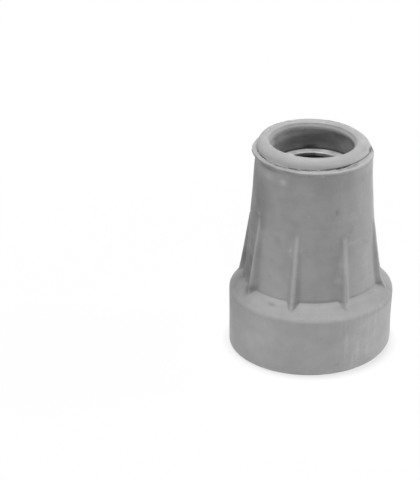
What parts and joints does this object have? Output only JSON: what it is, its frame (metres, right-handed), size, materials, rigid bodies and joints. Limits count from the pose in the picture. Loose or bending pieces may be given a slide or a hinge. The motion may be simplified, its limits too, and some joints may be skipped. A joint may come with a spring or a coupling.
{
  "type": "rubber cane tip",
  "caption": "Moulded grey rubber tip that grips the end of a walking cane, with a ribbed neck, a wide foot and a ringed tread.",
  "frame": {"origin": "on the ground, on the axis of the tip, at the centre of its tread", "axes": "+Z along the socket's axis, out of its mouth; +X and +Y across it"},
  "size_m": [0.0382, 0.0382, 0.052],
  "materials": {
    "grey_rubber": "matt moulded",
    "zinc_steel": "dull zinc"
  },
  "bodies": {
    "root": {"rubber_tip": "grey_rubber", "steel_washer": "zinc_steel"}
  },
  "joints": []
}
